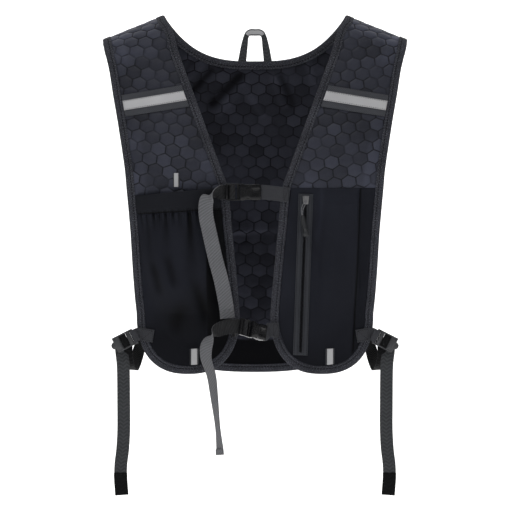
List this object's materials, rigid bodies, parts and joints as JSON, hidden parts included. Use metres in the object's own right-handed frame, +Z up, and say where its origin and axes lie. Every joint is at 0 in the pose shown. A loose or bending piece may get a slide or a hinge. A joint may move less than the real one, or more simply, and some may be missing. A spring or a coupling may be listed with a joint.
{
  "type": "running hydration vest",
  "caption": "Running hydration vest as worn: padded mesh front and back panels, open and zipped pockets, reflective bands, buckled chest straps and adjustable side straps.",
  "frame": {"origin": "where the vest sits on the shoulders: midway between the two shoulders, on the panels' inner face at the height of the shoulder peaks", "axes": "+Z up, +X to the right as seen from the front, -Y out of the front"},
  "size_m": [0.3576, 0.2314, 0.5617],
  "materials": {
    "padded_mesh": "quilted honeycomb mesh, soft sheen",
    "back_mesh": "quilted honeycomb mesh, matt",
    "binding": "folded knit tape, matt",
    "pocket_cloth": "stretch cloth, matt",
    "webbing": "woven webbing, matt",
    "strap": "woven webbing, matt",
    "silver_tape": "reflective tape, silver",
    "plastic": "moulded acetal, glossy",
    "zipper": "zipper tape and coil, matt",
    "rubber": "moulded rubber, satin"
  },
  "bodies": {
    "root": {"front_panel_left": "padded_mesh", "front_panel_right": "padded_mesh", "front_binding_left": "binding", "front_binding_right": "binding", "back_panel": "back_mesh", "neck_binding": "binding", "back_binding": "binding", "reflective_band_left": "webbing", "reflective_tape_left": "silver_tape", "reflective_band_right": "webbing", "reflective_tape_right": "silver_tape", "pocket_elastic_band": "pocket_cloth", "pocket_body": "pocket_cloth", "zip_pocket_front": "pocket_cloth", "zipper_tape": "zipper", "zipper_coil": "zipper", "zip_slider": "plastic", "zip_pull": "rubber", "tag_upper": "webbing", "tag_tape_upper": "silver_tape", "tag_left": "webbing", "tag_tape_left": "silver_tape", "tag_right": "webbing", "tag_tape_right": "silver_tape", "hang_loop": "strap", "hang_loop_tape": "silver_tape", "buckle_ladder_upper": "plastic", "buckle_socket_upper": "plastic", "chest_strap_upper": "strap", "chest_tab_upper": "webbing", "buckle_ladder_lower": "plastic", "buckle_socket_lower": "plastic", "chest_strap_lower": "strap", "chest_tab_lower": "webbing", "ladder_lock_left": "plastic", "ladder_lock_right": "plastic", "side_tab_left": "webbing", "side_tab_right": "webbing", "side_strap_left": "strap", "side_strap_right": "strap"}
  },
  "joints": []
}
